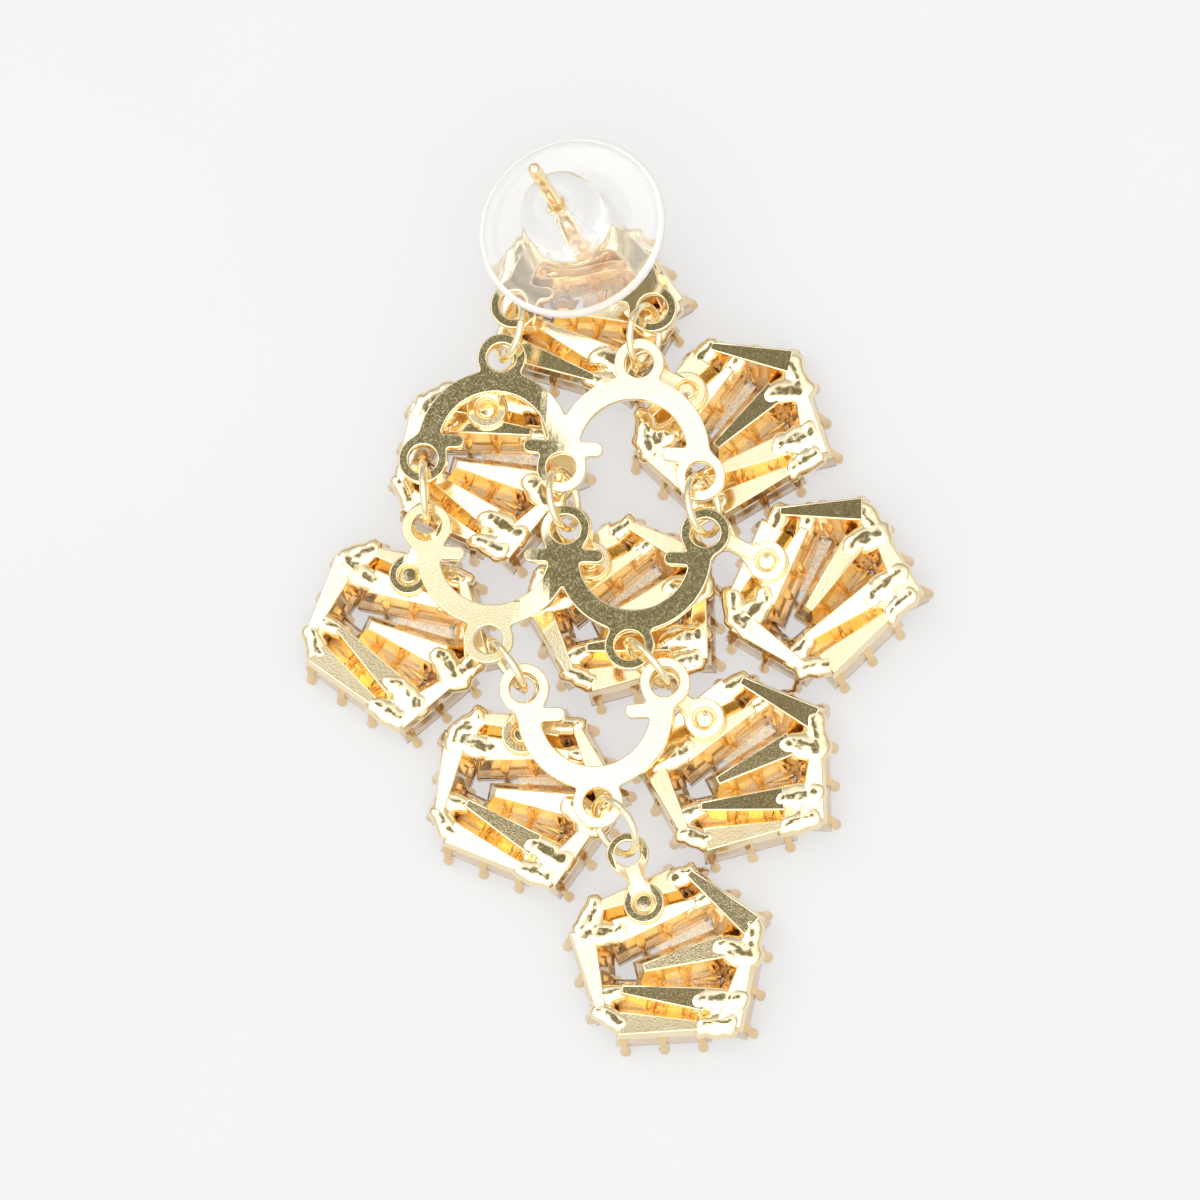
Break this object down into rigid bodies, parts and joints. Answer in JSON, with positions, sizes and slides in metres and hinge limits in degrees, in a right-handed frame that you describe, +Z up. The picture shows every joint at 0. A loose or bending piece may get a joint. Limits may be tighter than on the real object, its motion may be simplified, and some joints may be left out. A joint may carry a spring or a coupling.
{
  "type": "chandelier earring",
  "caption": "Drop earring lying on its face: clusters of tapered baguette stones linked by flat arched plates and round jump rings, with an ear post and a clear disc nut.",
  "frame": {"origin": "middle of the bounding box in plan, on the surface that the earring lies on", "axes": "+Z up from the surface, out of the earring's back; +Y from the bottom cluster toward the ear post; +X to the right seen from above"},
  "size_m": [0.0362, 0.0524, 0.0161],
  "materials": {
    "plated_metal": "polished pale gold plating",
    "clear_plastic": "clear soft plastic",
    "crystal": "clear cut crystal"
  },
  "bodies": {
    "earring": {"cluster_top": "plated_metal", "cluster_upper_left": "plated_metal", "cluster_upper_right": "plated_metal", "cluster_left": "plated_metal", "cluster_center": "plated_metal", "cluster_right": "plated_metal", "cluster_lower_left": "plated_metal", "cluster_lower_right": "plated_metal", "cluster_bottom": "plated_metal", "plate_upper": "plated_metal", "plate_middle": "plated_metal", "plate_lower": "plated_metal", "jump_ring_upper_left": "plated_metal", "jump_ring_upper_right": "plated_metal", "jump_ring_middle_left": "plated_metal", "jump_ring_middle": "plated_metal", "jump_ring_middle_right": "plated_metal", "jump_ring_lower_left": "plated_metal", "jump_ring_lower_right": "plated_metal", "jump_ring_bottom": "plated_metal"},
    "nut": {"ear_nut": "clear_plastic"}
  },
  "joints": [
    {"name": "nut_slide", "type": "slide", "parent": "earring", "child": "nut", "axis": [-0.1301, 0.0778, 0.9884], "range_m": [0, 0.0105]}
  ]
}
